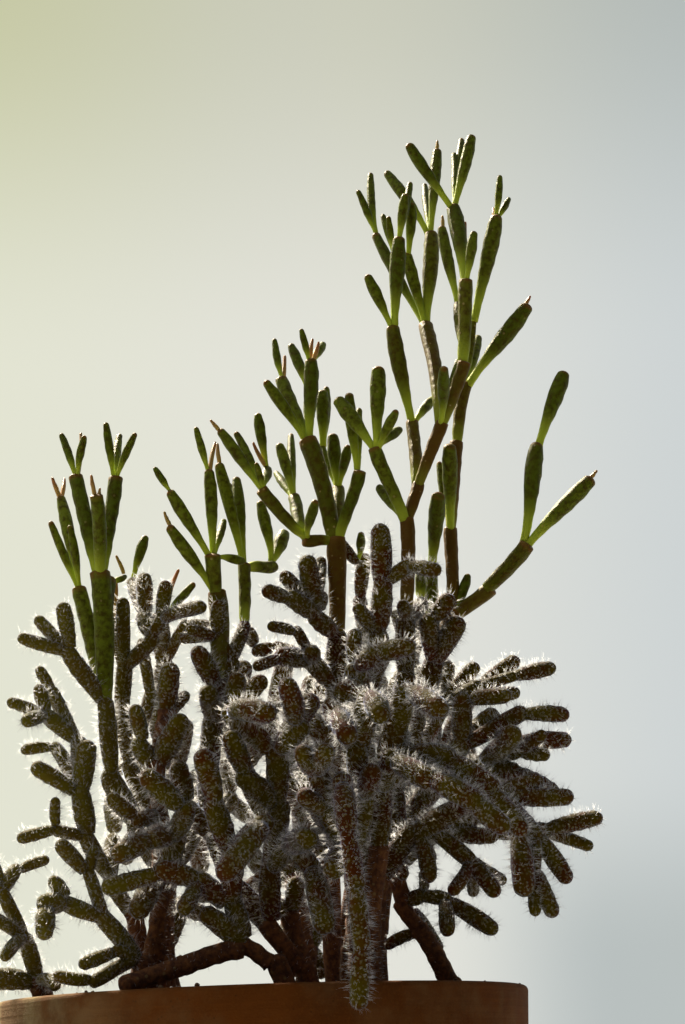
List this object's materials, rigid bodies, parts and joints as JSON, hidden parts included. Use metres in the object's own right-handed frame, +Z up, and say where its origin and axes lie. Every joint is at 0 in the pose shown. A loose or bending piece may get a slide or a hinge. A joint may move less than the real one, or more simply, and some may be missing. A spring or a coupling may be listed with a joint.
{
  "type": "potted dancing bones cactus",
  "caption": "Bushy cactus of branching, segmented stems, smooth bottle-shaped segments above bristly woolly ones, growing in a plain round clay pot.",
  "frame": {"origin": "middle of the flat underside of the pot", "axes": "+Z up; the side seen in the picture faces -Y; +X to its right"},
  "size_m": [0.1879, 0.1717, 0.4095],
  "materials": {
    "fired_clay": "unglazed matt brown clay with a pale bloom of lime on its collar",
    "potting_soil": "dry crumbly potting soil with bits of moss and grit",
    "smooth_stem": "smooth olive green skin with a soft waxy sheen, browner and corky on old segments",
    "woolly_stem": "dark olive skin closely set with pale felted spots and fine white bristles"
  },
  "bodies": {
    "root": {"pot": "fired_clay", "potting_soil": "potting_soil", "left_tower_shoot": "smooth_stem", "left_inner_shoot": "woolly_stem", "left_low_shoot": "woolly_stem", "left_fan_shoot": "woolly_stem", "left_edge_shoot": "woolly_stem", "left_front_shoot": "woolly_stem", "rim_arch_shoot": "woolly_stem", "front_left_shoot": "woolly_stem", "left_middle_shoot": "smooth_stem", "hanging_shoot": "woolly_stem", "front_right_shoot": "woolly_stem", "woolly_column_shoot": "woolly_stem", "middle_shoot": "smooth_stem", "tall_shoot": "smooth_stem", "right_tall_shoot": "smooth_stem", "right_upper_shoot": "woolly_stem", "right_middle_shoot": "woolly_stem", "right_low_shoot": "woolly_stem", "right_side_shoot": "woolly_stem", "back_left_shoot": "woolly_stem", "back_middle_shoot": "woolly_stem", "back_right_shoot": "woolly_stem"}
  },
  "joints": []
}
